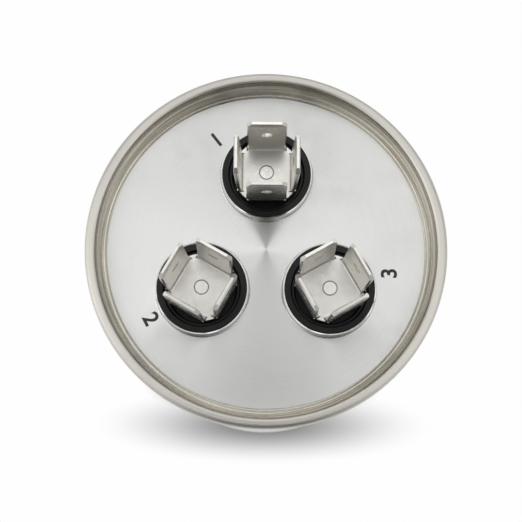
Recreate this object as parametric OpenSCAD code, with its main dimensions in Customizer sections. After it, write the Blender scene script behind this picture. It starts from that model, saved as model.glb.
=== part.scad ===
// Dual motor run capacitor in a round can, with its wound film, leads and three four-tab terminals.
// Lengths are in millimetres and angles in degrees. The can stands on Z = 0 with its axis on Z.
// Terminal 1 lies on the +Y side, terminal 2 to its left and terminal 3 to its right, seen from above.

/* [Can] */
// Outer diameter of the can
can_d = 57; // [54:0.5:72]
// Thickness of the can's sheet
can_wall = 0.4; // [0.3:0.05:0.6]
// Height from the base to the crest of the seam
can_h = 84; // [66:1:124]
// Outer radius of the corner between base and wall
base_corner_r = 2.4; // [1.5:0.1:4]
// How far the wall is pressed in where the seam grips it
neck_in = 0.06; // [0.05:0.01:0.15]
// Height of the sloping band that leads in to the seam
neck_h = 0.8; // [0.7:0.05:1.2]

/* [Seam] */
// Thickness of the lid's sheet
lid_sheet = 0.3; // [0.2:0.05:0.4]
// Height of the seam's outer skirt
seam_h = 2.9; // [2.8:0.1:3.5]
// Free space between the layers pressed together in the seam
seam_play = 0.03; // [0.02:0.01:0.05]
// Room left past the end of each hook
hook_gap = 0.3; // [0.2:0.05:0.4]
// Thickness of the sealing compound under the crest
compound_t = 0.2; // [0.1:0.05:0.3]
// Bend radius of the seam's inner shoulder, at the middle of the sheet
inner_shoulder_r = 0.45; // [0.3:0.05:0.5]
// Bend radius of the seam's outer shoulder, at the middle of the sheet
outer_shoulder_r = 0.6; // [0.4:0.05:0.7]

/* [Lid] */
// Depth of the lid's panel below the crest
lid_depth = 3.4; // [3:0.1:4.8]
// Depth of the groove round the panel, below the panel
groove_dip = 0.4; // [0.3:0.05:0.6]
// Width of the groove's floor, between its two bends
groove_w = 0.5; // [0.4:0.05:0.8]
// How far the chuck wall leans in from the seam down to the groove
chuck_lean = 0.8; // [0.5:0.05:1.2]
// Height of the upright part of the chuck wall, under the crest
chuck_upright = 1.3; // [1:0.1:1.7]
// Bend radius at the panel's edge and in the groove, at the middle of the sheet
groove_r = 0.4; // [0.3:0.05:0.5]

/* [Terminal places] */
// Distance of each terminal from the lid's centre
terminal_r = 12.45; // [12:0.05:14.2]
// Angle from the first terminal round to each of the other two
terminal_spread = 123.3; // [116:0.1:124]
// Turn of terminals 2 and 3 about their own axes, one each way
terminal_turn = 29.5; // [0:0.5:45]

/* [Bushing] */
// Diameter of the bushing's neck in the lid's collar
neck_d = 14.9; // [14:0.1:15.4]
// Height of the bushing's rim and of the collar above the panel
rim_h = 1.7; // [1.6:0.1:3]
// Width of the bushing's rim
rim_w = 1.1; // [0.8:0.1:1.2]
// Depth of the step inside the rim
step_dip = 0.8; // [0.5:0.1:1.1]
// Width of the step inside the rim
step_w = 0.6; // [0.4:0.1:0.8]
// Depth of the recess below the rim
recess_dip = 2.1; // [1.5:0.1:2.4]
// Diameter of the boss that carries the terminal
boss_d = 6.5; // [5.4:0.1:7]
// Diameter of the bushing's flange under the lid
flange_d = 19; // [18:0.1:19.6]
// Thickness of the bushing's flange
flange_t = 1.2; // [0.8:0.1:2]
// Thickness of the rubber gasket between flange and lid
gasket_t = 0.8; // [0.5:0.1:1.2]
// How far the crimped end of the collar leans in over the neck
crimp_in = 0.1; // [0.05:0.05:0.2]
// Length of the crimped end of the collar
crimp_h = 0.6; // [0.4:0.1:0.9]
// Thickness of the collar's wall, which is drawn thinner than the rest of the lid
collar_t = 0.2; // [0.15:0.05:0.3]
// Bend radius where the collar rises from the panel, at the middle of its wall
collar_bend_r = 0.4; // [0.3:0.05:0.9]
// Free space between neck and collar, all round
neck_play = 0.03; // [0.02:0.01:0.06]

/* [Terminal] */
// Width of each tab
tab_w = 6.35; // [4.8:0.05:6.35]
// Thickness of the terminal's sheet
tab_t = 0.8; // [0.5:0.05:0.8]
// Height of the tabs' tips above the plate's top
tab_h = 10.9; // [8:0.1:12]
// Distance across the plate between the faces of opposite tabs at their roots
plate_span = 8; // [7.6:0.1:8.4]
// Height of the plate's underside above the lid's panel
plate_lift = 1.65; // [1.4:0.05:2.5]
// Lean of each tab outwards
tab_splay = 2.2; // [0:0.1:5]
// Bend radius at a tab's root, at the middle of the sheet
tab_bend_r = 0.75; // [0.6:0.05:0.9]
// Diameter of the plate's rounded corners, across the plate
plate_corner_d = 11; // [10.4:0.1:11.4]
// Diameter of the detent hole in each tab
tab_hole_d = 1.8; // [1.4:0.1:2.1]
// Distance of the detent hole from the tab's tip
tab_hole_drop = 4.3; // [3:0.1:5]
// Size of the cut corners at a tab's tip
tip_corner = 0.8; // [0.5:0.1:1.4]
// Length of the bevel at a tab's tip
tip_bevel_l = 0.8; // [0.4:0.1:1.2]
// Depth of the bevels at a tab's tip and along its sides
bevel_t = 0.2; // [0.1:0.05:0.2]
// Width of the slit between a tab's root and the corner of the plate beside it
relief_w = 0.15; // [0.1:0.05:0.2]

/* [Rivet and lug] */
// Diameter of the rivet's shank
shank_d = 1.9; // [1.6:0.1:2.1]
// Diameter of the rivet's flush head in the plate
flush_head_d = 2.3; // [2.2:0.1:2.8]
// Depth of the flush head's cone
flush_head_h = 0.4; // [0.2:0.05:0.4]
// Diameter of the upset head under the lug
upset_d = 4; // [3.3:0.1:4.6]
// Thickness of the upset head
upset_h = 0.7; // [0.5:0.1:1]
// Free space round the rivet in every hole it passes
rivet_play = 0.05; // [0.03:0.01:0.08]
// Thickness of the lug's sheet
lug_t = 0.6; // [0.4:0.05:0.8]
// Diameter of the lug's eye
lug_d = 6.7; // [5.8:0.1:7.6]
// Distance of the lug's tail from the rivet's axis, to the middle of its sheet
tail_reach = 4.8; // [4.4:0.1:5.7]
// Width of the lug's tail
tail_w = 3; // [2:0.1:4]
// Length of the lug's tail below the bushing
tail_l = 5; // [4:0.1:7]
// Bend radius at the tail's root, at the middle of the sheet
tail_bend_r = 0.6; // [0.5:0.05:0.8]

/* [Leads] */
// Diameter of the leads
lead_d = 1.2; // [0.8:0.1:1.6]
// Length of the weld between a lead and its lug's tail
weld_l = 3; // [2:0.1:3.5]
// Bend radius of the lead that crosses to the core tube, at its middle
lead_bend_r = 1.5; // [1:0.1:1.6]
// Free space between a lead and what it lies against
lead_play = 0.04; // [0.02:0.01:0.08]
// Diameter of the solder cone at a lead's foot
solder_d = 3.2; // [2.4:0.1:4]
// Height of the solder cone
solder_h = 1.2; // [0.8:0.1:1.5]

/* [Interrupter disc] */
// Thickness of the insulating disc under the terminals
disc_t = 1.6; // [1:0.1:2.5]
// Distance from the ends of the lugs' tails to the disc
disc_gap = 0.6; // [0.3:0.1:1.5]
// Height of the skirt that stands on the winding
skirt_h = 3.4; // [2.8:0.1:6]
// Thickness of the skirt
skirt_t = 1.5; // [1:0.1:2.5]
// Free space between the disc and the can, all round
disc_play = 0.3; // [0.2:0.05:0.5]
// Free space round a lead in the disc
lead_hole_play = 0.3; // [0.2:0.05:0.5]
// Diameter of the filling hole in the disc
fill_hole_d = 6; // [4:0.5:8]

/* [Winding] */
// Outer diameter of the core tube
core_d = 9.5; // [8:0.5:10.5]
// Wall of the core tube
core_wall = 1; // [0.8:0.1:1.5]
// Outer diameter of the inner winding section
inner_winding_d = 25.5; // [23:0.5:28]
// Thickness of the barrier between the two sections
barrier_t = 0.9; // [0.5:0.1:1.5]
// How far the barrier stands above the end spray
barrier_rise = 1; // [0.5:0.1:1.5]
// Thickness of the metal sprayed on the winding's ends
spray_t = 0.8; // [0.5:0.1:1.2]
// Thickness of the wrap round the winding
wrap_t = 0.5; // [0.3:0.1:0.8]
// Free space between wound layers that are separate pieces
wind_play = 0.05; // [0.03:0.01:0.1]

/* [Base cup] */
// Thickness of the base cup's floor
cup_floor = 1.2; // [0.8:0.1:2]
// Wall of the base cup
cup_wall = 1; // [0.8:0.1:1.5]
// Height of the base cup's wall above its floor
cup_h = 7.5; // [5:0.5:14]
// Free space round the base cup, inside and outside
cup_play = 0.2; // [0.1:0.05:0.4]

/* [Hidden] */

// Smoothness of round surfaces, and the largest step of a bend in a profile
$fn = 96;
arc_step = 15;
// How far a cutter runs past what it cuts
past = 1;
tin_plate = [0.8, 0.8, 0.78];
drawn_metal = [0.82, 0.82, 0.8];
phenolic = [0.09, 0.09, 0.09];
copper = [0.7, 0.45, 0.3];

// Sheet middles in the seam, from the inside out
can_r = can_d / 2;
can_bore_r = can_r - can_wall;
can_mid_r = can_r - can_wall / 2;
gripped_r = can_r - neck_in;
gripped_mid_r = gripped_r - can_wall / 2;
chuck_r = gripped_r - can_wall - seam_play - lid_sheet / 2;
cover_hook_r = gripped_r + seam_play + lid_sheet / 2;
body_hook_r = gripped_r + 2 * seam_play + lid_sheet + can_wall / 2;
seam_skirt_r = body_hook_r + can_wall / 2 + seam_play + lid_sheet / 2;
// A hook's turn is a little tighter than half its width, which leaves a short flat between its two bends
hook_fullness = 0.95;
body_turn_r = hook_fullness * (body_hook_r - gripped_mid_r) / 2;
cover_turn_r = hook_fullness * (seam_skirt_r - cover_hook_r) / 2;

// Heights in the seam
skirt_end_z = can_h - seam_h;
compound_top_z = can_h - lid_sheet - seam_play;
can_top_z = compound_top_z - compound_t - seam_play;
body_hook_end_z = skirt_end_z + lid_sheet + hook_gap;
cover_hook_end_z = can_top_z - can_wall - hook_gap;

// The lid's panel and the groove round it
panel_z = can_h - lid_depth;
groove_out_r = chuck_r - chuck_lean;
groove_in_r = groove_out_r - groove_w;
panel_edge_r = groove_in_r - groove_dip / 2;
chuck_bend_r = 2;

// The bushing and what is stacked under it, in heights from the panel's top
neck_r = neck_d / 2;
flange_r = flange_d / 2;
collar_r = neck_r + neck_play + collar_t / 2;
collar_flange_r = collar_r + collar_bend_r;
collar_overlap = 0.4;
flange_top_z = -lid_sheet - gasket_t;
stack_z = flange_top_z - flange_t;
recess_r = neck_r - crimp_in - rim_w;
small_round = 0.2;
rivet_bore_r = shank_d / 2 + rivet_play;

// The terminal: its tab leaves the plate where the bend starts
tab_mid_x = plate_span / 2 + tab_t / 2;
tab_turn = 90 - tab_splay;
plate_half = tab_mid_x - tab_bend_r * tan(tab_turn / 2);
tab_run = (tab_h + tab_t / 2) / cos(tab_splay);
tab_root = 2;

// The leads and the winding, in heights from the base
disc_r = can_bore_r - disc_play;
disc_top_z = panel_z + stack_z - tail_l - disc_gap;
roll_top_z = disc_top_z - disc_t - skirt_h;
film_top_z = roll_top_z - spray_t;
roll_base_z = can_wall + cup_floor;
film_base_z = roll_base_z + spray_t;
film_h = film_top_z - film_base_z;
cup_r = can_bore_r - cup_play;
wrap_r = cup_r - cup_wall - cup_play;
roll_r = wrap_r - wrap_t - wind_play;
core_r = core_d / 2;
inner_winding_r = inner_winding_d / 2;
barrier_r = inner_winding_r + wind_play + barrier_t;
lead_r = lead_d / 2;
lead_offset = tail_reach + lug_t / 2 + lead_play + lead_r;
weld_top_z = panel_z + stack_z - tail_l + weld_l;
crossing_z = roll_top_z + skirt_h / 2;

// Terminals 1, 2 and 3: angle round the lid, turn about their own axes, and the side their lug's tail is on
terminal_angles = [90, 90 + terminal_spread, 90 - terminal_spread];
terminal_turns = [0, -terminal_turn, terminal_turn];
tail_sides = [-1, 1, -1];

// Distance of lead i from the can's axis
function lead_reach(i) = terminal_r + tail_sides[i] * lead_offset;

function unit(v) = v / norm(v);
function left_of(v) = [-v[1], v[0]];
function turned(v, a) = [v[0] * cos(a) - v[1] * sin(a), v[0] * sin(a) + v[1] * cos(a)];
function flat(p) = [p[0], p[1]];
function reversed(list) = [for (i = [len(list) - 1 : -1 : 0]) list[i]];

// Points of the corner at b on the way from a to c, moved to the left by shift.
// A third number in b is the corner's radius, limited by the length of the sides that meet there.
function corner(a, b, c, shift) =
  let(
    u = unit(flat(b) - flat(a)),
    v = unit(flat(c) - flat(b)),
    turn = atan2(u[0] * v[1] - u[1] * v[0], u * v),
    side = sign(turn),
    room = 0.49 * min(norm(flat(b) - flat(a)), norm(flat(c) - flat(b))),
    r = min(b[2], room / tan(abs(turn) / 2)),
    centre = flat(b) - u * r * tan(abs(turn) / 2) + left_of(u) * side * r,
    steps = ceil(abs(turn) / arc_step),
    mitre = (left_of(u) + left_of(v)) / (1 + u * v)
  )
  b[2] == 0 ? [flat(b) + mitre * shift] :
  [for (i = [0 : steps]) centre - turned(left_of(u), turn * i / steps) * side * (r - side * shift)];

// One face of a bent sheet: the path of its middle, moved to the left by shift
function face(path, shift) =
  let(
    last = len(path) - 1,
    start = left_of(unit(flat(path[1]) - flat(path[0]))),
    finish = left_of(unit(flat(path[last]) - flat(path[last - 1])))
  )
  concat(
    [flat(path[0]) + start * shift],
    [for (i = [1 : last - 1]) each corner(path[i - 1], path[i], path[i + 1], shift)],
    [flat(path[last]) + finish * shift]
  );

// Section of a sheet of thickness t bent along a path
function sheet(path, t) = concat(face(path, t / 2), reversed(face(path, -t / 2)));

// Closed outline with rounded corners
function outline(points) =
  let(n = len(points))
  [for (i = [0 : n - 1]) each corner(points[(i + n - 1) % n], points[i], points[(i + 1) % n], 0)];

module revolve(points) {
  rotate_extrude() polygon(points);
}

module tube(outer_r, inner_r, z0, z1) {
  translate([0, 0, z0]) difference() {
    cylinder(h = z1 - z0, r = outer_r);
    translate([0, 0, -past]) cylinder(h = z1 - z0 + 2 * past, r = inner_r);
  }
}

// Puts its children at terminal i, on the panel's top, with +Y pointing away from the lid's centre
module at_terminal(i) {
  rotate([0, 0, terminal_angles[i] - 90]) translate([0, terminal_r, panel_z]) children();
}

// Same place, but turned about the terminal's own axis as the terminal is
module at_turned_terminal(i) {
  at_terminal(i) rotate([0, 0, 90 - terminal_angles[i] + terminal_turns[i]]) children();
}

// Drawn can: flat base, upright wall, the slight neck under the seam, and the hook that the lid is folded round
module can() {
  color(drawn_metal) revolve(sheet([
    [0, can_wall / 2, 0],
    [can_mid_r, can_wall / 2, base_corner_r - can_wall / 2],
    [can_mid_r, skirt_end_z - neck_h, 0],
    [gripped_mid_r, skirt_end_z, 0],
    [gripped_mid_r, can_top_z - can_wall / 2, body_turn_r],
    [body_hook_r, can_top_z - can_wall / 2, body_turn_r],
    [body_hook_r, body_hook_end_z, 0]
  ], can_wall));
}

// Sealing compound pressed between the crest of the seam and the can's hook
module seam_compound() {
  color([0.25, 0.4, 0.3])
    tube(
      seam_skirt_r - outer_shoulder_r, chuck_r + inner_shoulder_r,
      compound_top_z - compound_t, compound_top_z
    );
}

// Lid before its collars are drawn: panel, groove, chuck wall, crest, skirt and the hook tucked under the can's
module lid_blank() {
  revolve(sheet([
    [0, panel_z - lid_sheet / 2, 0],
    [panel_edge_r, panel_z - lid_sheet / 2, groove_r],
    [groove_in_r, panel_z - lid_sheet / 2 - groove_dip, groove_r],
    [groove_out_r, panel_z - lid_sheet / 2 - groove_dip, groove_r],
    [chuck_r, can_h - lid_sheet / 2 - chuck_upright, chuck_bend_r],
    [chuck_r, can_h - lid_sheet / 2, inner_shoulder_r],
    [seam_skirt_r, can_h - lid_sheet / 2, outer_shoulder_r],
    [seam_skirt_r, skirt_end_z + lid_sheet / 2, cover_turn_r],
    [cover_hook_r, skirt_end_z + lid_sheet / 2, cover_turn_r],
    [cover_hook_r, cover_hook_end_z, 0]
  ], lid_sheet));
}

// Collar drawn up from the panel round a bushing, with its end crimped in
module collar() {
  revolve(sheet([
    [collar_flange_r + collar_overlap, -collar_t / 2, 0],
    [collar_r, -collar_t / 2, collar_bend_r],
    [collar_r, rim_h - crimp_h, small_round],
    [collar_r - crimp_in, rim_h, 0]
  ], collar_t));
}

module lid() {
  color(drawn_metal) {
    difference() {
      lid_blank();
      for (i = [0 : 2]) at_terminal(i) translate([0, 0, -lid_sheet - past])
        cylinder(h = lid_sheet + 2 * past, r = collar_flange_r);
    }
    for (i = [0 : 2]) at_terminal(i) collar();
  }
}

// Moulded bushing: flange, neck, rim, stepped recess, and the boss that carries the terminal
module bushing() {
  color(phenolic) revolve(outline([
    [rivet_bore_r, stack_z, 0],
    [flange_r, stack_z, small_round],
    [flange_r, flange_top_z, small_round],
    [neck_r, flange_top_z, 0],
    [neck_r, rim_h - crimp_h, 0],
    [neck_r - crimp_in, rim_h, small_round],
    [recess_r, rim_h, small_round],
    [recess_r, rim_h - step_dip, small_round],
    [recess_r - step_w, rim_h - step_dip, small_round],
    [recess_r - step_w, rim_h - recess_dip, small_round],
    [boss_d / 2, rim_h - recess_dip, small_round],
    [boss_d / 2, plate_lift, 0],
    [rivet_bore_r, plate_lift, 0]
  ]));
}

// Rubber gasket squeezed between the bushing's flange and the lid
module gasket() {
  color([0.18, 0.18, 0.18]) revolve(outline([
    [neck_r + neck_play, flange_top_z, small_round],
    [flange_r - small_round, flange_top_z, small_round],
    [flange_r - small_round, -lid_sheet, small_round],
    [neck_r + neck_play, -lid_sheet, small_round]
  ]));
}

// Side view of a tab with its root in the plate, bevelled at the tip
function tab_section() =
  let(
    lean = [sin(tab_splay), cos(tab_splay)],
    elbow = [tab_mid_x, tab_t / 2],
    shoulder = elbow + lean * (tab_run - tip_bevel_l),
    tip = elbow + lean * tab_run,
    tip_half = left_of(lean) * (tab_t / 2 - bevel_t),
    path = [[tab_root, tab_t / 2, 0], [elbow[0], elbow[1], tab_bend_r], [shoulder[0], shoulder[1], 0]]
  )
  concat(face(path, tab_t / 2), [tip + tip_half, tip - tip_half], reversed(face(path, -tab_t / 2)));

// Puts its children in the tab's own frame: X across its thickness, Y across its width, +Z towards its tip
module at_tab_middle() {
  translate([tab_mid_x, 0, tab_t / 2]) rotate([0, tab_splay, 0]) children();
}

module tab() {
  difference() {
    rotate([90, 0, 0]) linear_extrude(height = tab_w, center = true) polygon(tab_section());
    at_tab_middle() {
      translate([0, 0, tab_run - tab_hole_drop]) rotate([0, 90, 0])
        cylinder(h = tab_t + 2 * past, d = tab_hole_d, center = true);
      for (side = [-1, 1]) {
        translate([0, side * tab_w / 2, tab_run]) rotate([45, 0, 0])
          cube([tab_t + 2 * past, tip_corner * sqrt(2), tip_corner * sqrt(2)], center = true);
        for (back = [-1, 1])
          translate([back * tab_t / 2, side * tab_w / 2, tab_bend_r + tab_run / 2]) rotate([0, 0, 45])
            cube([bevel_t * sqrt(2), bevel_t * sqrt(2), tab_run], center = true);
      }
    }
  }
}

// Terminal stamped and folded from one sheet: a plate with four tabs, riveted through its middle
module terminal() {
  color(tin_plate) translate([0, 0, plate_lift]) difference() {
    union() {
      linear_extrude(height = tab_t) intersection() {
        square(2 * tab_mid_x, center = true);
        circle(d = plate_corner_d);
      }
      for (i = [0 : 3]) rotate([0, 0, 90 * i]) tab();
    }
    for (i = [0 : 3]) rotate([0, 0, 90 * i]) for (side = [-1, 1])
      translate([plate_half, side * (tab_w + relief_w) / 2 - relief_w / 2, -past])
        cube([tab_t + past, relief_w, tab_t + 2 * past]);
    translate([0, 0, -past]) cylinder(h = tab_t + 2 * past, r = rivet_bore_r);
    translate([0, 0, tab_t - flush_head_h])
      cylinder(h = flush_head_h, r1 = rivet_bore_r, r2 = flush_head_d / 2 + rivet_play);
  }
}

// Rivet that clamps terminal, bushing and lug, with a flush head above and an upset head below
module rivet() {
  top_z = plate_lift + tab_t;
  color([0.75, 0.75, 0.73]) revolve(outline([
    [0, stack_z - lug_t - upset_h, 0],
    [upset_d / 2, stack_z - lug_t - upset_h, small_round],
    [upset_d / 2, stack_z - lug_t, 0],
    [shank_d / 2, stack_z - lug_t, 0],
    [shank_d / 2, top_z - flush_head_h, 0],
    [flush_head_d / 2, top_z, 0],
    [0, top_z, 0]
  ]));
}

// Lug under the bushing, with its tail bent down for the lead
module lug(side) {
  tail_path = [
    [0, stack_z - lug_t / 2, 0],
    [tail_reach, stack_z - lug_t / 2, tail_bend_r],
    [tail_reach, stack_z - tail_l, 0]
  ];
  color([0.72, 0.7, 0.66]) difference() {
    union() {
      translate([0, 0, stack_z - lug_t]) cylinder(h = lug_t, d = lug_d);
      rotate([0, 0, side * 90]) rotate([90, 0, 0])
        linear_extrude(height = tail_w, center = true) polygon(sheet(tail_path, lug_t));
    }
    translate([0, 0, stack_z - lug_t - past]) cylinder(h = lug_t + 2 * past, r = rivet_bore_r);
  }
}

// Upright stretch of lead, between two heights
module lead_drop(z0, z1) {
  translate([0, 0, z0]) cylinder(h = z1 - z0, r = lead_r);
}

// Lead's round upper end, welded beside the lug's tail
module lead_end(z) {
  lead_drop(z - past, z - lead_r);
  translate([0, 0, z - lead_r]) sphere(r = lead_r);
}

// Quarter bend of lead, from an upright stretch at X = 0 to a level one towards +X, at height z
module lead_bend(z) {
  translate([lead_bend_r, 0, z + lead_bend_r]) rotate([90, 0, 0]) rotate([0, 0, 180])
    rotate_extrude(angle = 90) translate([lead_bend_r, 0]) circle(r = lead_r);
}

// Cone of solder that holds a lead's foot
module solder_foot(z) {
  translate([0, 0, z]) cylinder(h = solder_h, r1 = solder_d / 2, r2 = lead_r);
}

// Puts its children at lead i, on the base, with +X pointing away from the lid's centre
module at_lead(i) {
  rotate([0, 0, terminal_angles[i]]) translate([lead_reach(i), 0, 0]) children();
}

// Leads 1 and 2 drop straight from their lugs to the metal sprayed on the winding's top
module straight_lead(i) {
  color(copper) at_lead(i) {
    lead_end(weld_top_z);
    lead_drop(roll_top_z, weld_top_z - lead_r);
    solder_foot(roll_top_z);
  }
}

// Lead 3 crosses to the axis and runs down the core tube to the metal sprayed on the winding's foot
module common_lead() {
  level_l = lead_reach(2) - 2 * lead_bend_r;
  color(copper) {
    at_lead(2) {
      lead_end(weld_top_z);
      lead_drop(crossing_z + lead_bend_r, weld_top_z - lead_r);
      mirror([1, 0, 0]) lead_bend(crossing_z);
      translate([-lead_bend_r - level_l, 0, crossing_z]) rotate([0, 90, 0])
        cylinder(h = level_l, r = lead_r);
    }
    rotate([0, 0, terminal_angles[2]]) translate([0, 0, crossing_z]) mirror([0, 0, 1]) lead_bend(0);
    lead_drop(film_base_z, crossing_z - lead_bend_r);
    solder_foot(film_base_z);
  }
}

// Insulating disc that stands on the winding and steadies the leads below their lugs
module interrupter_disc() {
  color([0.85, 0.83, 0.75]) difference() {
    union() {
      translate([0, 0, disc_top_z - disc_t]) cylinder(h = disc_t, r = disc_r);
      tube(wrap_r, wrap_r - skirt_t, roll_top_z, disc_top_z - disc_t / 2);
    }
    for (i = [0 : 2]) at_lead(i) translate([0, 0, roll_top_z])
      cylinder(h = skirt_h + disc_t + past, r = lead_r + lead_hole_play);
    translate([0, 0, roll_top_z]) cylinder(h = skirt_h + disc_t + past, d = fill_hole_d);
  }
}

module core_tube() {
  color([0.9, 0.9, 0.85]) tube(core_r, core_r - core_wall, film_base_z, roll_top_z);
}

module inner_winding() {
  color([0.75, 0.75, 0.78]) tube(inner_winding_r, core_r + wind_play, film_base_z, film_top_z);
}

module section_barrier() {
  color([0.9, 0.85, 0.6])
    tube(barrier_r, inner_winding_r + wind_play, film_base_z, roll_top_z + barrier_rise);
}

module outer_winding() {
  color([0.75, 0.75, 0.78]) tube(roll_r, barrier_r + wind_play, film_base_z, film_top_z);
}

// Metal sprayed on the two sections' upper ends, parted by the barrier
module inner_spray() {
  color([0.6, 0.6, 0.62]) tube(inner_winding_r, core_r + wind_play, film_top_z, roll_top_z);
}

module outer_spray() {
  color([0.6, 0.6, 0.62]) tube(roll_r, barrier_r + wind_play, film_top_z, roll_top_z);
}

// Metal sprayed on the lower end, which joins both sections and closes the core tube
module common_spray() {
  color([0.6, 0.6, 0.62]) translate([0, 0, roll_base_z]) cylinder(h = spray_t, r = roll_r);
}

module roll_wrap() {
  color([0.85, 0.8, 0.55]) tube(wrap_r, roll_r + wind_play, roll_base_z, roll_top_z);
}

// Insulating cup that keeps the winding off the can's base
module base_cup() {
  color([0.88, 0.88, 0.84]) revolve(outline([
    [0, can_wall, 0],
    [cup_r, can_wall, base_corner_r],
    [cup_r, can_wall + cup_floor + cup_h, small_round],
    [cup_r - cup_wall, can_wall + cup_floor + cup_h, small_round],
    [cup_r - cup_wall, can_wall + cup_floor, 0],
    [0, can_wall + cup_floor, 0]
  ]));
}

can();
lid();
seam_compound();
at_terminal(0) bushing();  // bushing_1
at_terminal(1) bushing();  // bushing_2
at_terminal(2) bushing();  // bushing_3
at_terminal(0) gasket();  // gasket_1
at_terminal(1) gasket();  // gasket_2
at_terminal(2) gasket();  // gasket_3
at_turned_terminal(0) terminal();  // terminal_1
at_turned_terminal(1) terminal();  // terminal_2
at_turned_terminal(2) terminal();  // terminal_3
at_terminal(0) rivet();  // rivet_1
at_terminal(1) rivet();  // rivet_2
at_terminal(2) rivet();  // rivet_3
at_terminal(0) lug(tail_sides[0]);  // lug_1
at_terminal(1) lug(tail_sides[1]);  // lug_2
at_terminal(2) lug(tail_sides[2]);  // lug_3
straight_lead(0);  // lead_1
straight_lead(1);  // lead_2
common_lead();  // lead_3
interrupter_disc();
inner_spray();
outer_spray();
common_spray();
inner_winding();
outer_winding();
section_barrier();
core_tube();
roll_wrap();
base_cup();
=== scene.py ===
# %% [markdown]
# # A run capacitor in Blender
# This lesson dresses a finished CAD model: a round metal can with a seamed lid, three black bushings and
# folded push-on terminals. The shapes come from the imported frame, so they are not modelled again here.
# What is added is finish: turned and drawn metal, moulding, rubber, film, printed numerals, the rings left
# by riveting, a floor, light and a camera. Blender's lengths are metres, so a millimetre is 0.001.

import math

import bpy
from mathutils import Matrix, Vector


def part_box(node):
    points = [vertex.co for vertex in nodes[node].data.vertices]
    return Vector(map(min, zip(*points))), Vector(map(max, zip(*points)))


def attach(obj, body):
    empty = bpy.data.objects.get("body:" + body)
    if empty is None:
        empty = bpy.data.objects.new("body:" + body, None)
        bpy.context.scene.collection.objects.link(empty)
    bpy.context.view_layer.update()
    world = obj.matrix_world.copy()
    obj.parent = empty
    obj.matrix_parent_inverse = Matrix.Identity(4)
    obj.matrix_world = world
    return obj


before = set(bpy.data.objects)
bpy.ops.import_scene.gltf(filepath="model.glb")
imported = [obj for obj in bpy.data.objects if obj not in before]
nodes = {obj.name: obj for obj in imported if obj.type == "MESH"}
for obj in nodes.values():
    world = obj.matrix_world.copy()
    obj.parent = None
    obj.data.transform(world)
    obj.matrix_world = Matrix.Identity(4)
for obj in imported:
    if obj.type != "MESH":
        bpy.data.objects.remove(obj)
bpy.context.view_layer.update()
MM = 0.001

# %% [markdown]
# ## Measure before placing
# The camera, the rings round the rivets and the height of the numerals are placed from the CAD nodes' own
# boxes, so they keep up when the model changes. The lid's box gives the crest of the seam and its radius.
# A rivet's box gives a terminal's middle and the face of its plate. The gasket is pressed against the
# underside of the lid's panel, so the panel's top is one sheet thickness above it. No box gives the radii
# where one finish on the lid ends and the next starts, so those are written down in millimetres.

# %% Measure the frame
lid_sheet = 0.3 * MM
lid_low, lid_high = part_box("lid")
crest_z = lid_high.z
seam_r = (lid_high.x - lid_low.x) / 2
panel_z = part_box("gasket_1")[1].z + lid_sheet
plate_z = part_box("rivet_1")[1].z
rivet_middles = []
for i in (1, 2, 3):
    low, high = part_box(f"rivet_{i}")
    rivet_middles.append(Vector(((low.x + high.x) / 2, (low.y + high.y) / 2, plate_z)))
print("panel at", round(panel_z / MM, 2), "plate at", round(plate_z / MM, 2),
      "crest at", round(crest_z / MM, 2), "seam radius", round(seam_r / MM, 2), "mm")

# %% [markdown]
# ## The camera
# The capacitor is seen almost from above, leaning 11 degrees towards its front, from about a hand's length
# away, so the can's wall shrinks to a thin crescent below the seam. A camera could be aimed with a Track To
# constraint, but three vectors are clearer: one points back from the object to the camera, one is right
# and one is up. The lens is long, so the circles stay almost round, and nothing is out of focus.

# %% Camera
tilt = 0.189
roll = 0.008
reach = 161.5 * MM
look_at = Vector((-0.80 * MM, -2.65 * MM, crest_z))
back = Vector((0, -math.sin(tilt), math.cos(tilt)))
level_right = Vector((1, 0, 0))
level_up = back.cross(level_right)
right = level_right * math.cos(roll) + level_up * math.sin(roll)
up = level_up * math.cos(roll) - level_right * math.sin(roll)

camera_data = bpy.data.cameras.new("camera")
camera_data.lens = 68.9
camera_data.sensor_width = 36
camera_data.clip_start = 10 * MM
camera_data.clip_end = 5
camera = bpy.data.objects.new("camera", camera_data)
camera.matrix_world = (
    Matrix.Translation(look_at + back * reach) @ Matrix((right, up, back)).transposed().to_4x4()
)
bpy.context.scene.collection.objects.link(camera)
bpy.context.scene.camera = camera
bpy.context.scene.view_settings.view_transform = "Standard"
print("camera at", [round(v / MM, 1) for v in camera.matrix_world.translation], "mm, lens", camera_data.lens)

# %% [markdown]
# ## Two helpers for nodes
# Materials in Blender are graphs of nodes. Written out one by one they hide the idea under bookkeeping, so
# one helper makes a node, sets it up and links or fills its inputs. The other starts a node group with
# named inputs and outputs. A group is the right home for an effect that several finishes share, because
# it is built once and then given its own values wherever it is used.

# %% Node helpers
def add(tree, kind, inputs=None, **settings):
    """Adds a node to a tree. An input given a socket is linked to it, and any other value is filled in."""
    made = tree.nodes.new(kind)
    for key, value in settings.items():
        setattr(made, key, value)
    for key, value in (inputs or {}).items():
        if isinstance(value, bpy.types.NodeSocket):
            tree.links.new(value, made.inputs[key])
        else:
            made.inputs[key].default_value = value
    return made


def math_node(tree, operation, *values, clamp=False):
    """One step of arithmetic, and its result."""
    inputs = dict(enumerate(values))
    return add(tree, "ShaderNodeMath", inputs, operation=operation, use_clamp=clamp).outputs[0]


def spread(tree, value, low, high, to_low=0.0, to_high=1.0):
    """Fits a value that runs from low to high into another range, and holds it there."""
    inputs = {"Value": value, "From Min": low, "From Max": high, "To Min": to_low, "To Max": to_high}
    return add(tree, "ShaderNodeMapRange", inputs, clamp=True).outputs[0]


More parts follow.
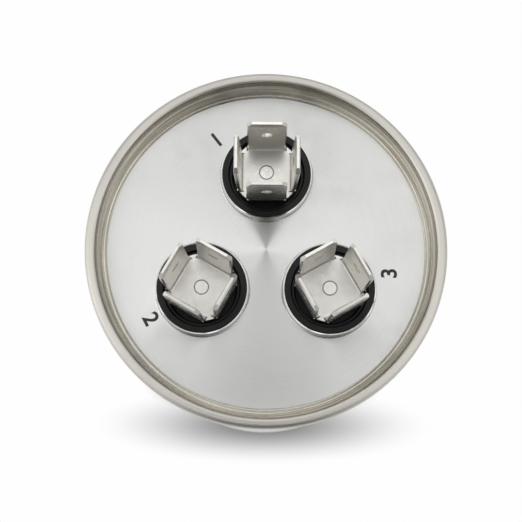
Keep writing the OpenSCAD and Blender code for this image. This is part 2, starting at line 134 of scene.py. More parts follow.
def start_effect(name, inputs, outputs):
    """A new shader node group. Returns its tree, the sockets it receives and the sockets it gives out."""
    tree = bpy.data.node_groups.new(name, "ShaderNodeTree")
    for label, value in inputs.items():
        socket = tree.interface.new_socket(name=label, in_out="INPUT", socket_type="NodeSocketFloat")
        socket.default_value = value
    for label in outputs:
        tree.interface.new_socket(name=label, in_out="OUTPUT", socket_type="NodeSocketFloat")
    return tree, tree.nodes.new("NodeGroupInput").outputs, tree.nodes.new("NodeGroupOutput").inputs


def place_in_mm(tree):
    """The point being shaded, in millimetres in the object's own frame."""
    place = add(tree, "ShaderNodeTexCoord").outputs["Object"]
    return add(tree, "ShaderNodeVectorMath", {0: place, "Scale": 1 / MM}, operation="SCALE").outputs[0]


print("helpers ready: add, math_node, spread, start_effect, place_in_mm")

# %% [markdown]
# ## Effect: turned marks
# The lid was spun against a tool, which left fine rings about the can's axis. An image of rings would blur
# up close, and a Wave texture makes rings that are all alike. Here the distance from the axis runs quickly
# through a noise texture and the direction round the axis runs slowly through it, so each ring differs
# from the next and fades in and out on its way round. The same group draws the layers at a roll's ends.

# %% Turned marks
turned_marks, given, result = start_effect(
    "turned_marks", {"Rings per mm": 6.0, "Waver": 1.5, "Seed": 0.0}, ["Tone", "Height"]
)
at = add(turned_marks, "ShaderNodeSeparateXYZ", {0: place_in_mm(turned_marks)}).outputs
flat_place = add(turned_marks, "ShaderNodeCombineXYZ", {"X": at["X"], "Y": at["Y"]}).outputs[0]
radius = add(turned_marks, "ShaderNodeVectorMath", {0: flat_place}, operation="LENGTH").outputs["Value"]
heading = add(turned_marks, "ShaderNodeVectorMath", {0: flat_place}, operation="NORMALIZE").outputs[0]
slow = add(
    turned_marks, "ShaderNodeVectorMath", {0: heading, "Scale": given["Waver"]}, operation="SCALE"
).outputs[0]
slow_at = add(turned_marks, "ShaderNodeSeparateXYZ", {0: slow}).outputs
quick = math_node(turned_marks, "MULTIPLY", radius, given["Rings per mm"])
ring = add(
    turned_marks, "ShaderNodeCombineXYZ", {"X": slow_at["X"], "Y": slow_at["Y"], "Z": quick}
).outputs[0]
lines = add(
    turned_marks,
    "ShaderNodeTexNoise",
    {"Vector": ring, "W": given["Seed"], "Scale": 1.0, "Detail": 4.0, "Roughness": 0.65},
    noise_dimensions="4D",
).outputs[0]
turned_marks.links.new(spread(turned_marks, lines, 0.3, 0.7), result["Tone"])
turned_marks.links.new(lines, result["Height"])
print("turned_marks:", len(turned_marks.nodes), "nodes")

# %% [markdown]
# ## Effect: grain
# Drawn metal has long fine lines up its wall, sprayed metal and moulded plastic have an even tooth, and a
# wrapped tape has bands. All are noise at different scales across and along the can's axis, so one group
# with two scales covers them. A low scale along the axis stretches the noise into lines.

# %% Grain
grain, given, result = start_effect(
    "grain", {"Across per mm": 4.0, "Along per mm": 4.0, "Contrast": 0.5, "Seed": 0.0}, ["Tone", "Height"]
)
across, along = given["Across per mm"], given["Along per mm"]
scales = add(grain, "ShaderNodeCombineXYZ", {"X": across, "Y": across, "Z": along}).outputs[0]
stretched = add(
    grain, "ShaderNodeVectorMath", {0: place_in_mm(grain), 1: scales}, operation="MULTIPLY"
).outputs[0]
specks = add(
    grain,
    "ShaderNodeTexNoise",
    {"Vector": stretched, "W": given["Seed"], "Scale": 1.0, "Detail": 3.0, "Roughness": 0.6},
    noise_dimensions="4D",
).outputs[0]
half_width = math_node(grain, "MULTIPLY_ADD", given["Contrast"], -0.4, 0.45)
low_end = math_node(grain, "SUBTRACT", 0.5, half_width)
high_end = math_node(grain, "ADD", 0.5, half_width)
grain.links.new(spread(grain, specks, low_end, high_end), result["Tone"])
grain.links.new(specks, result["Height"])
print("grain:", len(grain.nodes), "nodes")

# %% [markdown]
# ## Effect: handling marks
# Bare metal that has been picked up carries soft patches where skin dulled it. Two sizes of noise are
# multiplied, which leaves islands with clean metal between them instead of an even cloud. The mask only
# nudges colour and roughness, because a patch that can be seen at a glance would look like dirt.

# %% Handling marks
handling, given, result = start_effect("handling_marks", {"Size in mm": 12.0, "Seed": 0.0}, ["Mask"])
per_mm = math_node(handling, "DIVIDE", 1.0, given["Size in mm"])
place = place_in_mm(handling)
wide = add(
    handling,
    "ShaderNodeTexNoise",
    {"Vector": place, "W": given["Seed"], "Scale": per_mm, "Detail": 2.0},
    noise_dimensions="4D",
).outputs[0]
finer = math_node(handling, "MULTIPLY", per_mm, 6.0)
close = add(
    handling,
    "ShaderNodeTexNoise",
    {"Vector": place, "W": given["Seed"], "Scale": finer, "Detail": 4.0, "Roughness": 0.7},
    noise_dimensions="4D",
).outputs[0]
wide_patches = spread(handling, wide, 0.45, 0.7)
close_patches = spread(handling, close, 0.35, 0.65)
islands = math_node(handling, "MULTIPLY", wide_patches, close_patches)
handling.links.new(islands, result["Mask"])
print("handling_marks:", len(handling.nodes), "nodes")

# %% [markdown]
# ## Effect: zones
# Some finishes change with place: the seam was rolled, so it is warmer than the turned panel inside it,
# the collars were drawn over a punch, and the can's foot is scuffed. Painting a mask by hand
# would need a UV map. A zone is simply a soft step in the distance from an upright line or in the height,
# so this group gives both. The line is the can's axis unless a centre is given.

# %% Zones
zones, given, result = start_effect(
    "zones",
    {
        "Radius": 28.0,
        "Radius blend": 0.5,
        "Centre X": 0.0,
        "Centre Y": 0.0,
        "Height": 1.0,
        "Height blend": 0.5,
    },
    ["Outside", "Above"],
)
at = add(zones, "ShaderNodeSeparateXYZ", {0: place_in_mm(zones)}).outputs
from_x = math_node(zones, "SUBTRACT", at["X"], given["Centre X"])
from_y = math_node(zones, "SUBTRACT", at["Y"], given["Centre Y"])
flat_place = add(zones, "ShaderNodeCombineXYZ", {"X": from_x, "Y": from_y}).outputs[0]
radius = add(zones, "ShaderNodeVectorMath", {0: flat_place}, operation="LENGTH").outputs["Value"]
for value, name in ((radius, "Radius"), (at["Z"], "Height")):
    start = math_node(zones, "SUBTRACT", given[name], given[f"{name} blend"])
    finish = math_node(zones, "ADD", given[name], given[f"{name} blend"])
    output = "Outside" if name == "Radius" else "Above"
    zones.links.new(spread(zones, value, start, finish), result[output])
print("zones:", len(zones.nodes), "nodes")

# %% [markdown]
# ## How a finish is put together
# Each finish is one material with a Principled shader in it. Values that are the same all over, such as
# how strongly metal streaks its highlights, are set on the shader itself. Values that change over the
# surface come from the groups above through a few mixes. These helpers make the material, place a group in
# it, mix two colours by a mask and turn a height into a bump.

# %% Finish helpers
def start_finish(name, **uniform):
    """A material with a Principled shader. Returns the material, its tree and the shader."""
    finish = bpy.data.materials.new(name)
    finish.use_nodes = True
    tree = finish.node_tree
    shader = next(n for n in tree.nodes if n.type == "BSDF_PRINCIPLED")
    for label, value in uniform.items():
        shader.inputs[label.replace("_", " ")].default_value = value
    return finish, tree, shader


def use(tree, effect, **values):
    """Puts a node group in a material with its own values, and returns its outputs."""
    made = add(tree, "ShaderNodeGroup", node_tree=effect)
    for label, value in values.items():
        made.inputs[label.replace("_", " ")].default_value = value
    return made.outputs


def mix(tree, mask, first, second):
    """A colour that goes from the first to the second as the mask goes from 0 to 1."""
    made = add(tree, "ShaderNodeMix", data_type="RGBA")
    for label, value in (("Factor_Float", mask), ("A_Color", first), ("B_Color", second)):
        socket = next(s for s in made.inputs if s.identifier == label)
        if isinstance(value, bpy.types.NodeSocket):
            tree.links.new(value, socket)
        elif label == "Factor_Float":
            socket.default_value = value
        else:
            socket.default_value = (*value, 1.0)
    return next(s for s in made.outputs if s.identifier == "Result_Color")


def bump(tree, shader, height, depth):
    """Feeds a height that runs from 0 to 1 into the shader's normal, as a relief of that depth in metres."""
    made = add(tree, "ShaderNodeBump", {"Height": height, "Strength": 1.0, "Distance": depth})
    tree.links.new(made.outputs[0], shader.inputs["Normal"])


def dress(finish, *names):
    """Gives CAD nodes a finish."""
    for name in names:
        mesh = nodes[name].data
        mesh.materials.clear()
        mesh.materials.append(finish)


print("helpers ready: start_finish, use, mix, bump, dress")

# %% [markdown]
# ## The turned lid
# The lid is bright steel, turned on its flat and rolled at its seam. What the eye reads as turned metal is
# mostly the way each spot streaks its highlight across the rings, which gives the bright wedges to the left
# and right. That is anisotropy, set on the shader with its direction. The rings themselves are faint in
# colour, in roughness and in relief. The wall inside the seam was rubbed by the chuck that held it, so it
# has bands round it; their dark, warm tones are partly painted reflection. The dark line at its top is
# painted shade, where the seam's shoulder turns down into the wall. Wall and collars are smoother than the
# panel.

# %% Lid finish
lid_finish, tree, shader = start_finish(
    "turned_lid", Metallic=1.0, Anisotropic=0.95, Anisotropic_Rotation=0.25
)
rings = use(tree, turned_marks, Rings_per_mm=9.0, Waver=2.0, Seed=1.0)
collar_r_mm = 7.88
groove_zone = use(tree, zones, Radius=26.2, Radius_blend=0.1)["Outside"]
wall_zone = use(tree, zones, Radius=26.8, Radius_blend=0.1)["Outside"]
# The dark line at the top of the inner wall is painted shade, at the seam's shoulder.
corner_shade_zone = use(tree, zones, Radius=27.68, Radius_blend=0.05)["Outside"]
seam_zone = use(tree, zones, Radius=27.86, Radius_blend=0.06)["Outside"]
chuck_bands = use(tree, grain, Across_per_mm=0.04, Along_per_mm=3.2, Contrast=0.85, Seed=4.0)["Tone"]
touched = use(tree, handling, Size_in_mm=16.0, Seed=3.0)["Mask"]
collar_zone = 0.0
for middle in rivet_middles:
    centre = {"Centre_X": middle.x / MM, "Centre_Y": middle.y / MM}
    beyond = use(tree, zones, Radius=collar_r_mm, Radius_blend=0.1, **centre)["Outside"]
    collar_zone = math_node(tree, "MAXIMUM", collar_zone, math_node(tree, "SUBTRACT", 1.0, beyond))
panel_colour = mix(tree, rings["Tone"], (0.73, 0.735, 0.72), (0.80, 0.805, 0.79))
# The inner wall's bands are chuck marks, and their dark, warm tones are partly painted reflection.
wall_colour = mix(tree, chuck_bands, (0.36, 0.33, 0.275), (0.80, 0.76, 0.67))
seam_colour = mix(tree, rings["Tone"], (0.63, 0.61, 0.555), (0.70, 0.68, 0.625))
inner_colour = mix(tree, wall_zone, panel_colour, wall_colour)
corner_shaded_colour = mix(tree, corner_shade_zone, inner_colour, (0.28, 0.25, 0.20))
clean_colour = mix(tree, seam_zone, corner_shaded_colour, seam_colour)
lid_colour = mix(tree, math_node(tree, "MULTIPLY", touched, 0.2), clean_colour, (0.62, 0.61, 0.59))
tree.links.new(lid_colour, shader.inputs["Base Color"])
wall_and_groove = math_node(tree, "SUBTRACT", groove_zone, seam_zone, clamp=True)
smoother = math_node(tree, "MAXIMUM", wall_and_groove, collar_zone)
ring_roughness = spread(tree, rings["Tone"], 0.0, 1.0, 0.31, 0.36)
zoned = math_node(tree, "MULTIPLY_ADD", smoother, -0.17, ring_roughness)
tree.links.new(math_node(tree, "MULTIPLY_ADD", touched, 0.05, zoned), shader.inputs["Roughness"])
bump(tree, shader, rings["Height"], 0.006 * MM)
dress(lid_finish, "lid")
print("lid dressed in", lid_finish.name)

# %% [markdown]
# ## The drawn can
# The can was pressed from a disc of aluminium and pulled through a ring, which leaves fine straight lines
# up its wall. They come from the grain group with a very low scale along the axis. The foot, which slides
# over benches and shelves, is scuffed brighter and rougher, and the wall carries a few handling marks.

# %% Can finish
can_finish, tree, shader = start_finish("drawn_can", Metallic=1.0, Anisotropic=0.4)
draw_lines = use(tree, grain, Across_per_mm=5.0, Along_per_mm=0.04, Contrast=0.5, Seed=2.0)
scuffs = use(tree, grain, Across_per_mm=1.2, Along_per_mm=3.0, Contrast=0.9, Seed=5.0)["Tone"]
touched = use(tree, handling, Size_in_mm=22.0, Seed=6.0)["Mask"]
foot = math_node(tree, "SUBTRACT", 1.0, use(tree, zones, Height=1.4, Height_blend=1.4)["Above"])
worn = math_node(tree, "MULTIPLY", foot, scuffs)
wall_colour = mix(tree, draw_lines["Tone"], (0.68, 0.68, 0.67), (0.78, 0.78, 0.77))
touched_colour = mix(tree, math_node(tree, "MULTIPLY", touched, 0.35), wall_colour, (0.58, 0.575, 0.56))
tree.links.new(mix(tree, worn, touched_colour, (0.86, 0.86, 0.85)), shader.inputs["Base Color"])
line_roughness = spread(tree, draw_lines["Tone"], 0.0, 1.0, 0.30, 0.42)
dulled = math_node(tree, "MULTIPLY_ADD", touched, 0.08, line_roughness)
tree.links.new(math_node(tree, "MULTIPLY_ADD", worn, 0.15, dulled), shader.inputs["Roughness"])
bump(tree, shader, draw_lines["Height"], 0.02 * MM)
dress(can_finish, "can")
print("can dressed in", can_finish.name)

# %% [markdown]
# ## Tinned terminals, rivets and lugs
# The terminals are folded from tinned strip. Tin is soft and slightly yellow beside steel, and it lies
# unevenly, so its finish is a fine cloudy grain with small dull patches. Metallic stays a little below 1,
# because soft plating scatters some of the light instead of mirroring it all. The tabs are wiped smoother
# than the plate they stand on, by a step in height just above the plate. The rivets and the lugs under
# the lid have the same plating with other values, so a function makes both.

# %% Tinned finishes
wiped_from_mm = plate_z / MM + 0.5
wiped_blend_mm = 0.4


def tinned(name, dark, bright, smooth, rough, seed):
    """A plated finish between two tones and two roughnesses."""
    finish, tree, shader = start_finish(name, Metallic=0.88)
    cloud = use(tree, grain, Across_per_mm=1.1, Along_per_mm=1.1, Contrast=0.4, Seed=seed)
    fine = use(tree, grain, Across_per_mm=7.0, Along_per_mm=7.0, Contrast=0.5, Seed=seed + 1)
    touched = use(tree, handling, Size_in_mm=4.0, Seed=seed + 2)["Mask"]
    fine_share = math_node(tree, "MULTIPLY", fine["Tone"], 0.3)
    tone = math_node(tree, "MULTIPLY_ADD", cloud["Tone"], 0.7, fine_share)
    plated = mix(tree, tone, dark, bright)
    dull = tuple(0.86 * v for v in dark)
    touched_colour = mix(tree, math_node(tree, "MULTIPLY", touched, 0.5), plated, dull)
    tree.links.new(touched_colour, shader.inputs["Base Color"])
    cloud_roughness = spread(tree, cloud["Tone"], 0.0, 1.0, rough, smooth)
    wiped = use(tree, zones, Height=wiped_from_mm, Height_blend=wiped_blend_mm)["Above"]
    wiped_roughness = math_node(tree, "MULTIPLY_ADD", wiped, -0.08, cloud_roughness)
    tree.links.new(math_node(tree, "MULTIPLY_ADD", touched, 0.1, wiped_roughness), shader.inputs["Roughness"])
    bump(tree, shader, fine["Height"], 0.006 * MM)
    return finish


terminal_finish = tinned("tinned_strip", (0.75, 0.73, 0.685), (0.84, 0.825, 0.785), 0.25, 0.33, 11.0)
rivet_finish = tinned("tinned_rivet", (0.76, 0.74, 0.70), (0.86, 0.845, 0.81), 0.20, 0.28, 17.0)
for i in (1, 2, 3):
    dress(terminal_finish, f"terminal_{i}")
    dress(rivet_finish, f"rivet_{i}", f"lug_{i}")
print("dressed in", terminal_finish.name, "and", rivet_finish.name)

# %% [markdown]
# ## Black bushings and gaskets
# Each terminal stands in a black moulded bushing, sealed to the lid by a rubber gasket. The moulding is a
# glass-filled thermoset, so it is nearly matt with a fine tooth that catches light, and it is rubbed a
# little grey in patches. The rubber is duller, with a bloom of pale dust in it.

# %% Black finishes
def black(name, dark, pale, smooth, rough, tooth_per_mm, depth, seed):
    """A dark moulded finish with a fine tooth."""
    finish, tree, shader = start_finish(name, Metallic=0.0, Specular_IOR_Level=0.3)
    tooth = use(tree, grain, Across_per_mm=tooth_per_mm, Along_per_mm=tooth_per_mm, Contrast=0.4, Seed=seed)
    bloom = use(tree, handling, Size_in_mm=5.0, Seed=seed + 1)["Mask"]
    speckled = mix(tree, math_node(tree, "MULTIPLY", tooth["Tone"], 0.5), dark, pale)
    rubbed = mix(tree, math_node(tree, "MULTIPLY", bloom, 0.5), speckled, pale)
    tree.links.new(rubbed, shader.inputs["Base Color"])
    tree.links.new(spread(tree, tooth["Tone"], 0.0, 1.0, smooth, rough), shader.inputs["Roughness"])
    bump(tree, shader, tooth["Height"], depth)
    return finish


bushing_finish = black(
    "black_thermoset", (0.003, 0.003, 0.0035), (0.011, 0.011, 0.0115), 0.30, 0.44, 9.0, 0.012 * MM, 21.0
)
gasket_finish = black(
    "gasket_rubber", (0.016, 0.016, 0.016), (0.05, 0.049, 0.046), 0.7, 0.9, 5.0, 0.03 * MM, 25.0
)
for i in (1, 2, 3):
    dress(bushing_finish, f"bushing_{i}")
    dress(gasket_finish, f"gasket_{i}")
print("dressed in", bushing_finish.name, "and", gasket_finish.name)

# %% [markdown]
# ## What the can hides
# Nobody sees the wound film, its leads or the cup it stands in unless the can is cut open, but the parts
# are there, so they get real finishes too. The roll's ends are sprayed with zinc, a coarse grey grain. The
# film and its wrap show layers: fine rings at the ends, from the turned marks group, and slow bands
# round the side. The plastic parts are pale with faint flow lines.

# %% Inner finishes
def layered(name, dark, bright, per_mm, band_per_mm, rough, seed, metallic=0.0):
    """Layers of wound sheet: rings at the ends and bands round the side."""
    finish, tree, shader = start_finish(name, Metallic=metallic)
    layers = use(tree, turned_marks, Rings_per_mm=per_mm, Waver=0.6, Seed=seed)
    bands = use(tree, grain, Across_per_mm=0.05, Along_per_mm=band_per_mm, Contrast=0.4, Seed=seed + 1)
    band_share = math_node(tree, "MULTIPLY", bands["Tone"], 0.4)
    tone = math_node(tree, "MULTIPLY_ADD", layers["Tone"], 0.6, band_share)
    tree.links.new(mix(tree, tone, dark, bright), shader.inputs["Base Color"])
    tree.links.new(spread(tree, bands["Tone"], 0.0, 1.0, rough, rough + 0.12), shader.inputs["Roughness"])
    bump(tree, shader, layers["Height"], 0.01 * MM)
    return finish


def grained(name, dark, bright, across, along, rough, depth, seed, metallic=0.0):
    """An even or drawn-out grain over one part."""
    finish, tree, shader = start_finish(name, Metallic=metallic)
    specks = use(tree, grain, Across_per_mm=across, Along_per_mm=along, Contrast=0.6, Seed=seed)
    patches = use(tree, handling, Size_in_mm=8.0, Seed=seed + 1)["Mask"]
    tone = math_node(tree, "MULTIPLY_ADD", patches, -0.3, specks["Tone"], clamp=True)
    tree.links.new(mix(tree, tone, dark, bright), shader.inputs["Base Color"])
    tree.links.new(spread(tree, specks["Tone"], 0.0, 1.0, rough, rough + 0.15), shader.inputs["Roughness"])
    bump(tree, shader, specks["Height"], depth)
    return finish


film_finish = layered(
    "wound_film", (0.42, 0.43, 0.45), (0.66, 0.67, 0.69), 4.0, 1.2, 0.28, 31.0, metallic=0.6
)
wrap_finish = layered("roll_wrap", (0.62, 0.55, 0.36), (0.78, 0.71, 0.50), 3.0, 0.35, 0.32, 35.0)
spray_finish = grained(
    "sprayed_zinc", (0.30, 0.30, 0.31), (0.55, 0.55, 0.56), 3.5, 3.5, 0.55, 0.08 * MM, 41.0, metallic=0.8
)
plastic_finish = grained(
    "pale_plastic", (0.66, 0.65, 0.60), (0.80, 0.79, 0.75), 0.9, 0.25, 0.42, 0.02 * MM, 45.0
)
lead_finish = grained(
    "copper_wire", (0.55, 0.27, 0.14), (0.80, 0.46, 0.30), 6.0, 1.5, 0.26, 0.03 * MM, 51.0, metallic=1.0
)
compound_finish = grained(
    "sealing_compound", (0.04, 0.09, 0.06), (0.08, 0.16, 0.11), 2.5, 2.5, 0.6, 0.03 * MM, 55.0
)
dress(film_finish, "inner_winding", "outer_winding")
dress(wrap_finish, "roll_wrap")
dress(spray_finish, "inner_spray", "outer_spray", "common_spray")
dress(plastic_finish, "interrupter_disc", "section_barrier", "core_tube", "base_cup")
dress(lead_finish, "lead_1", "lead_2", "lead_3")
dress(compound_finish, "seam_compound")
bare = [
    name for name, node in nodes.items() if not node.data.materials or not node.data.materials[0].use_nodes
]
print("nodes without a finish:", bare)

# %% [markdown]
# ## Rings round the rivets
# When a flush rivet is spun over, its head pushes up a thin rolled ring of tin in the plate round it. The
# three rings are alike, which is work for Geometry Nodes: one ring is made from two circles, put at three
# points and merged into a mesh. The tree's sizes are named inputs, and it ends in Realize Instances,
# because instances would be lost when the model is exported, and Set Material.

# %% Ring tree
# The rings are tinted far darker than the plate: painted shade, so that each reads as the dark groove round a
# rivet head.
ring_finish_painted_shade = tinned("rolled_tin_painted_shade", (0.26, 0.25, 0.23), (0.44, 0.43, 0.40), 0.2, 0.3, 61.0)
ring_tree = bpy.data.node_groups.new("rivet_rings", "GeometryNodeTree")
ring_tree.interface.new_socket(name="Geometry", in_out="INPUT", socket_type="NodeSocketGeometry")
ring_tree.interface.new_socket(name="Geometry", in_out="OUTPUT", socket_type="NodeSocketGeometry")
sizes = {"Ring radius": 1.15 * MM, "Roll radius": 0.1 * MM}
for label, value in sizes.items():
    ring_tree.interface.new_socket(name=label, in_out="INPUT", socket_type="NodeSocketFloat")
given = ring_tree.nodes.new("NodeGroupInput").outputs
path = add(ring_tree, "GeometryNodeCurvePrimitiveCircle", {"Resolution": 64, "Radius": given["Ring radius"]})
section = add(
    ring_tree, "GeometryNodeCurvePrimitiveCircle", {"Resolution": 10, "Radius": given["Roll radius"]}
)
roll = add(
    ring_tree,
    "GeometryNodeCurveToMesh",
    {"Curve": path.outputs["Curve"], "Profile Curve": section.outputs["Curve"]},
)
placed = add(
    ring_tree,
    "GeometryNodeInstanceOnPoints",
    {"Points": given["Geometry"], "Instance": roll.outputs["Mesh"]},
)
merged = add(ring_tree, "GeometryNodeRealizeInstances", {"Geometry": placed.outputs["Instances"]})
smooth = add(ring_tree, "GeometryNodeSetShadeSmooth", {"Geometry": merged.outputs["Geometry"]})
finished = add(
    ring_tree, "GeometryNodeSetMaterial", {"Geometry": smooth.outputs["Geometry"], "Material": ring_finish_painted_shade}
)
ring_result = ring_tree.nodes.new("NodeGroupOutput").inputs
ring_tree.links.new(finished.outputs["Geometry"], ring_result["Geometry"])
print("rivet_rings:", len(ring_tree.nodes), "nodes")
print("sizes in mm:", {label: round(value / MM, 2) for label, value in sizes.items()})

# %% [markdown]
# The tree needs points to stand the rings on, so the object starts as three loose vertices in the middles
# of the rivets. An input of the modifier is set by its socket's identifier, not by its name, and before
# Blender first works the modifier out. The result is then kept as a plain mesh and the modifier goes.

# %% Rings round the rivets
def bake(name, points, tree, values, finish):
    """Runs a Geometry Nodes tree on some points and keeps its result as a plain mesh object."""
    seed_mesh = bpy.data.meshes.new(name + "_points")
    seed_mesh.from_pydata([tuple(p) for p in points], [], [])
    seed_object = bpy.data.objects.new(name + "_points", seed_mesh)
    bpy.context.scene.collection.objects.link(seed_object)
    modifier = seed_object.modifiers.new(name, "NODES")
    modifier.node_group = tree
    for socket in tree.interface.items_tree:
        if socket.in_out == "INPUT" and socket.name in values:
            modifier[socket.identifier] = values[socket.name]
    worked_out = seed_object.evaluated_get(bpy.context.evaluated_depsgraph_get())
    mesh = bpy.data.meshes.new_from_object(worked_out)
    mesh.materials.clear()
    mesh.materials.append(finish)
    mesh.polygons.foreach_set("material_index", [0] * len(mesh.polygons))
    bpy.data.objects.remove(seed_object)
    piece = bpy.data.objects.new(name, mesh)
    mesh.name = name
    bpy.context.scene.collection.objects.link(piece)
    return piece


rivet_rings = bake("rivet_rings", rivet_middles, ring_tree, sizes, ring_finish_painted_shade)
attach(rivet_rings, "root")
print("rivet_rings:", len(rivet_rings.data.polygons), "faces in", rivet_rings.data.materials[0].name)

# %% [markdown]
# ## Printed numerals
# The lid is printed beside each terminal so that a fitter knows which is which. Plain numbers stand there
# here. Blender's Text object draws them: it is made a mesh while it is flat at the origin, and only then
# turned, moved and laid on the panel, because a mesh keeps its place in its vertices. The ink is a film
# a few hundredths of a millimetre thick, with soft, slightly uneven black. The font's strokes are thin, so
# they are made bolder, but only a little: an outline that is pushed out too far crosses itself and half of
# the digit is left empty. The cell prints how much ink each digit has, which would show that.

# %% Ink
ink_finish, tree, shader = start_finish("printed_ink", Metallic=0.0)
starved = use(tree, grain, Across_per_mm=6.0, Along_per_mm=6.0, Contrast=0.5, Seed=71.0)
ink_colour = mix(tree, starved["Tone"], (0.012, 0.012, 0.013), (0.035, 0.035, 0.036))
tree.links.new(ink_colour, shader.inputs["Base Color"])
tree.links.new(spread(tree, starved["Tone"], 0.0, 1.0, 0.42, 0.6), shader.inputs["Roughness"])
bump(tree, shader, starved["Height"], 0.004 * MM)
print("ink ready:", ink_finish.name)

# %% Numerals
numeral_h = 2.6 * MM
ink_t = 0.02 * MM
digit_share = 0.72
boldness = 0.08 * MM
numeral_places = (("1", 20.5, 114.2, 38.0), ("2", 22.2, 212.1, -61.0), ("3", 20.8, -10.8, 90.0))
for figure, distance, angle, turn in numeral_places:
    letter = bpy.data.curves.new("numeral_" + figure, "FONT")
    letter.body = figure
    letter.size = numeral_h / digit_share
    letter.offset = boldness
    letter.extrude = ink_t / 2
    letter.align_x = "CENTER"
    letter.align_y = "CENTER"
    letter.resolution_u = 8
    flat = bpy.data.objects.new("flat_" + figure, letter)
    bpy.context.scene.collection.objects.link(flat)
    mesh = bpy.data.meshes.new_from_object(flat.evaluated_get(bpy.context.evaluated_depsgraph_get()))
    bpy.data.objects.remove(flat)
    around = math.radians(angle)
    place = Vector((distance * MM * math.cos(around), distance * MM * math.sin(around), panel_z + ink_t / 2))
    mesh.transform(Matrix.Translation(place) @ Matrix.Rotation(math.radians(turn), 4, "Z"))
    mesh.materials.clear()
    mesh.materials.append(ink_finish)
    numeral = bpy.data.objects.new("numeral_" + figure, mesh)
    bpy.context.scene.collection.objects.link(numeral)
    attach(numeral, "root")
    inked = sum(face.area for face in mesh.polygons if face.normal.z > 0.9) / MM**2
    print("numeral", figure, "covers", round(inked, 2), "square mm with ink")

# %% [markdown]
# ## Floor
# The object stands on a plain white floor that runs out of sight. Lit as paper, such a floor would turn
# grey under the long shadow of a tall can. So the camera, and anything shiny, sees a floor that glows
# white and has its shadow drawn in: a soft flat oval before the can's foot, measured in millimetres, and
# close to the can a darkening all round from an Ambient Occlusion node with a short reach. Light that
# bounces off the floor still comes from an ordinary white surface.

# %% Floor
floor_finish = bpy.data.materials.new("studio_floor")
floor_finish.use_nodes = True
tree = floor_finish.node_tree
tree.nodes.clear()
seen = add(tree, "ShaderNodeLightPath").outputs
direct = math_node(tree, "MAXIMUM", seen["Is Camera Ray"], seen["Is Glossy Ray"])
direct = math_node(tree, "MAXIMUM", direct, seen["Is Transmission Ray"])
oval_middle_y, oval_half_length, oval_half_depth = -26.6, 36.0, 8.4
contact_reach = 6 * MM
at = add(tree, "ShaderNodeSeparateXYZ", {0: place_in_mm(tree)}).outputs
along = math_node(tree, "DIVIDE", at["X"], oval_half_length)
away = math_node(tree, "DIVIDE", math_node(tree, "SUBTRACT", at["Y"], oval_middle_y), oval_half_depth)
oval_place = add(tree, "ShaderNodeCombineXYZ", {"X": along, "Y": away}).outputs[0]
oval = add(tree, "ShaderNodeVectorMath", {0: oval_place}, operation="LENGTH").outputs["Value"]
cast = add(
    tree, "ShaderNodeMapRange", {"Value": oval, "From Max": 1.15}, interpolation_type="SMOOTHSTEP"
).outputs[0]
nearness = add(tree, "ShaderNodeAmbientOcclusion", {"Distance": contact_reach}, samples=16).outputs["AO"]
contact = spread(tree, nearness, 0.4, 1.0, 0.3, 1.0)
lit = math_node(tree, "MINIMUM", cast, contact)
shade = mix(tree, lit, (0.2, 0.2, 0.2), (1.0, 1.0, 1.0))
glow = add(tree, "ShaderNodeEmission", {"Color": shade, "Strength": 0.99}).outputs[0]
paper = add(tree, "ShaderNodeBsdfDiffuse", {"Color": (0.85, 0.85, 0.85, 1.0)}).outputs[0]
both = add(tree, "ShaderNodeMixShader", {0: direct, 1: paper, 2: glow}).outputs[0]
add(tree, "ShaderNodeOutputMaterial", {"Surface": both})

floor_half = 1.5
floor_mesh = bpy.data.meshes.new("floor")
corners = [(x * floor_half, y * floor_half, 0) for x, y in ((-1, -1), (1, -1), (1, 1), (-1, 1))]
floor_mesh.from_pydata(corners, [], [(0, 1, 2, 3)])
floor_mesh.materials.append(floor_finish)
floor = bpy.data.objects.new("floor", floor_mesh)
bpy.context.scene.collection.objects.link(floor)
print("floor is", 2 * floor_half, "m square")

# %% [markdown]
# ## Studio light
# Bare metal has hardly any colour of its own: it shows the room. This room is a dim white one with three
# large soft panels overhead, to the left, to the right and behind the object. The gap between them, where
# the camera looks through, stays dark, and it draws the dark wedge down the front of the turned lid. Each
# panel is a soft spot in the world's brightness: the cosine of the angle to its middle, raised to a power
# that says how tight it is. A spot is written as its angle from overhead, its heading (0 is +X, 90 is +Y),
# both in degrees, its tightness and its strength. Dark places have a strength below zero. Lamps with
# shapes could stand in for them, but soft spots give less noise and no hard edges in the reflections.

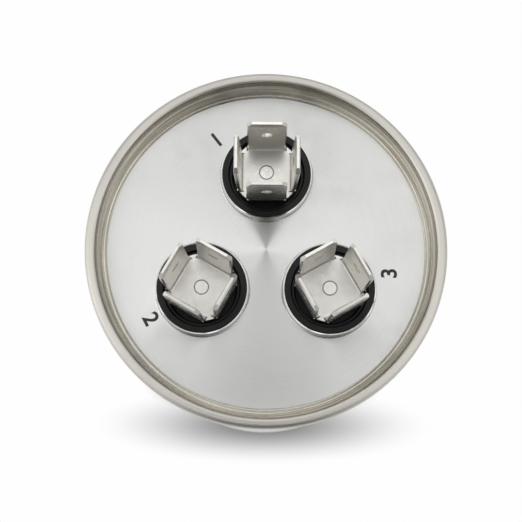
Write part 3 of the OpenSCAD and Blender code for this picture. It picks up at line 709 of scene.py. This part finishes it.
# %% World
world = bpy.data.worlds.new("studio")
world.use_nodes = True
bpy.context.scene.world = world
tree = world.node_tree
tree.nodes.clear()
seen = add(tree, "ShaderNodeLightPath").outputs
direction = add(tree, "ShaderNodeTexCoord").outputs["Generated"]
base_level = 0.44
soft_spots = {
    "left panel": (36, 200, 12, 1.02),
    "right panel": (36, -12, 12, 0.98),
    "back panel": (35, 90, 14, 1.25),
    "strip over the camera": (14, 90, 60, 0.3),
    "gap for the camera": (13, -90, 60, -0.66),
    "gap below it": (26, -90, 32, -0.85),
    "dark front": (52, -90, 12, -0.75),
    "left wall": (72, 180, 8, 0.45),
    "right wall": (72, 0, 8, 0.02),
    "back wall": (76, 90, 8, -0.3),
}
room = base_level
for from_overhead, heading, tightness, strength in soft_spots.values():
    down, around = math.radians(from_overhead), math.radians(heading)
    middle = (math.sin(down) * math.cos(around), math.sin(down) * math.sin(around), math.cos(down))
    facing = add(
        tree, "ShaderNodeVectorMath", {0: direction, 1: middle}, operation="DOT_PRODUCT"
    ).outputs["Value"]
    spot = math_node(tree, "POWER", math_node(tree, "MAXIMUM", facing, 0.0), tightness)
    room = math_node(tree, "MULTIPLY_ADD", spot, strength, room)
darkest = 0.02
room = math_node(tree, "MAXIMUM", room, darkest)
backdrop = math_node(tree, "MAXIMUM", seen["Is Camera Ray"], seen["Is Transmission Ray"])
brightness = add(
    tree, "ShaderNodeMix", {"Factor": backdrop, "A": room, "B": 1.0}, data_type="FLOAT"
).outputs["Result"]
sky = add(tree, "ShaderNodeBackground", {"Color": (1.0, 1.0, 1.0, 1.0), "Strength": brightness}).outputs[0]
add(tree, "ShaderNodeOutputWorld", {"Surface": sky})
print("world ready:", len(soft_spots), "soft spots")

# %% [markdown]
# One large lamp above the left shoulder adds a gentle direction to the light, so that edges and folds turn
# from lit to shaded. It is wide and weak, because a small strong lamp would throw hard shadows.

# %% Key lamp
def softbox(name, place, size, power):
    """A square area lamp aimed at the middle of the lid."""
    lamp_data = bpy.data.lights.new(name, "AREA")
    lamp_data.size = size
    lamp_data.energy = power
    lamp = bpy.data.objects.new(name, lamp_data)
    aim = Vector((0, 0, crest_z)) - Vector(place)
    lamp.matrix_world = Matrix.Translation(place) @ aim.to_track_quat("-Z", "Y").to_matrix().to_4x4()
    bpy.context.scene.collection.objects.link(lamp)
    return lamp


softbox("key", (-0.55, 0.1, 0.6), 0.5, 0.4)
